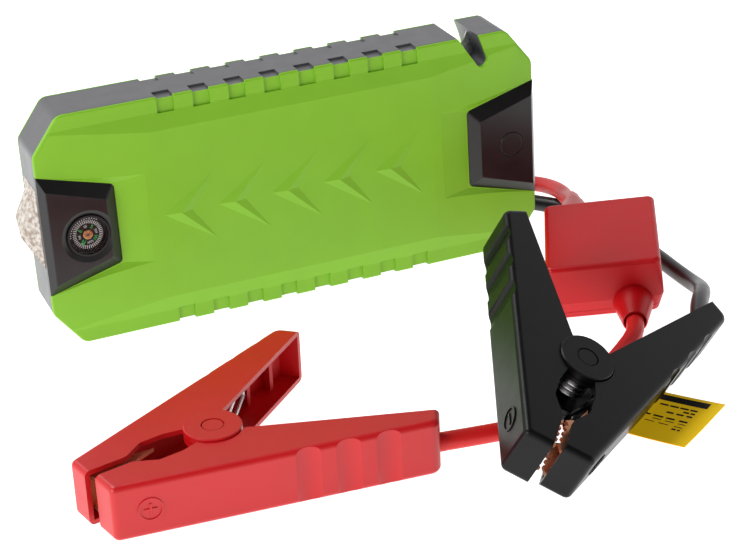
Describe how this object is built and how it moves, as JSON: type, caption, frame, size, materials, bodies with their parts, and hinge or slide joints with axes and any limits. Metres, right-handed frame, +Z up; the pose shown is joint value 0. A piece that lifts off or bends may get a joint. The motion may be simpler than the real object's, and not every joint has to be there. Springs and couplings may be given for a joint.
{
  "type": "jump starter pack",
  "caption": "Slim upright jump starter battery pack with compass, glass breaker and belt cutter, and a loose lead with inline box, plug and two sprung battery clamps.",
  "frame": {"origin": "middle of the long edge that the pack stands on, on the table, halfway through its depth", "axes": "+X along the pack towards its button end, -Y out of the front face with the compass, +Z up"},
  "size_m": [0.2397, 0.229, 0.0845],
  "materials": {
    "cover_green": "fine-grained moulded plastic",
    "frame_grey": "fine-grained moulded plastic",
    "screw_steel": "blackened",
    "plate_black": "satin moulded plastic",
    "button_black": "satin",
    "part_black": "matt",
    "pin_steel": "plated",
    "clear_glass": "polished",
    "breaker_white": "light sintered metal",
    "blade_steel": "ground",
    "socket_blue": "satin",
    "contact_brass": "plated",
    "shell_steel": "plated",
    "mirror_bowl": "polished",
    "led_yellow": "phosphor",
    "cell_foil": "foil pouch",
    "board_green": "lacquered",
    "copper": "copper plated",
    "box_red": "fine-grained moulded plastic",
    "cable_red": "soft silicone jacket",
    "cable_black": "soft silicone jacket",
    "tag_yellow": "printed film",
    "dial_black": "printed",
    "rubber_black": "moulded",
    "clamp_red": "fine-grained moulded plastic",
    "clamp_black": "fine-grained moulded plastic",
    "spring_steel": "plated wire",
    "sleeve_black": "glossy shrink sleeve"
  },
  "bodies": {
    "pack_and_lead": {"front_cover": "cover_green", "back_cover": "cover_green", "mid_frame": "frame_grey", "cover_screws": "screw_steel", "compass_plate": "plate_black", "button_plate": "plate_black", "button_switch": "part_black", "compass_case": "part_black", "compass_pivot": "pin_steel", "compass_glass": "clear_glass", "glass_breaker": "breaker_white", "cutter_blade": "blade_steel", "port_panel": "plate_black", "jump_socket": "socket_blue", "socket_contacts": "contact_brass", "usb_sockets": "shell_steel", "dc_socket": "part_black", "torch_reflector": "mirror_bowl", "torch_led": "led_yellow", "torch_lens": "clear_glass", "battery_cells": "cell_foil", "circuit_board": "board_green", "board_components": "part_black", "power_straps": "copper", "box_lid": "box_red", "box_base": "box_red", "box_board": "board_green", "box_front_gland": "box_red", "box_back_gland": "box_red", "jump_plug": "socket_blue", "plug_contacts": "contact_brass", "red_cable_in": "cable_red", "red_cable_out": "cable_red", "black_cable": "cable_black", "warning_tag": "tag_yellow", "red_clamp_fixed_arm": "clamp_red", "red_clamp_fixed_jaw": "copper", "red_clamp_pivot_pin": "pin_steel", "red_clamp_spring": "spring_steel", "red_clamp_lead_end": "cable_red", "black_clamp_fixed_arm": "clamp_black", "black_clamp_fixed_jaw": "copper", "black_clamp_pivot_pin": "pin_steel", "black_clamp_spring": "spring_steel", "black_clamp_lead_end": "sleeve_black"},
    "power_button": {"power_button": "button_black"},
    "compass_card": {"compass_dial": "dial_black", "compass_cap": "contact_brass"},
    "port_cover": {"port_cover": "rubber_black"},
    "red_clamp_lever": {"red_clamp_moving_arm": "clamp_red", "red_clamp_moving_jaw": "copper", "red_clamp_spring_leg": "spring_steel"},
    "black_clamp_lever": {"black_clamp_moving_arm": "clamp_black", "black_clamp_moving_jaw": "copper", "black_clamp_spring_leg": "spring_steel"}
  },
  "joints": [
    {"name": "power_button_press", "type": "slide", "parent": "pack_and_lead", "child": "power_button", "axis": [0, 1, 0], "range_m": [0, 0.0008], "stiffness_N_per_m": 300, "springref_m": -0.001},
    {"name": "compass_turn", "type": "hinge", "parent": "pack_and_lead", "child": "compass_card", "pos_m": [-0.0773, -0.0122, 0.0409], "axis": [0, 1, 0], "continuous": true},
    {"name": "port_cover_hinge", "type": "hinge", "parent": "pack_and_lead", "child": "port_cover", "pos_m": [0.0932, 0.0083, 0.03725], "axis": [0, 0, 1], "range_deg": [0, 110]},
    {"name": "red_clamp_pivot", "type": "hinge", "parent": "pack_and_lead", "child": "red_clamp_lever", "pos_m": [-0.0713, -0.12435, 0.0109], "axis": [-0.0082, 0.0339, -0.9994], "range_deg": [0, 38], "stiffness_Nm_per_rad": 0.8, "springref_deg": -8.59},
    {"name": "black_clamp_pivot", "type": "hinge", "parent": "pack_and_lead", "child": "black_clamp_lever", "pos_m": [0.03784, -0.14878, 0.02025], "axis": [-0.2995, 0.4227, -0.8554], "range_deg": [0, 38], "stiffness_Nm_per_rad": 0.8, "springref_deg": -8.59}
  ]
}
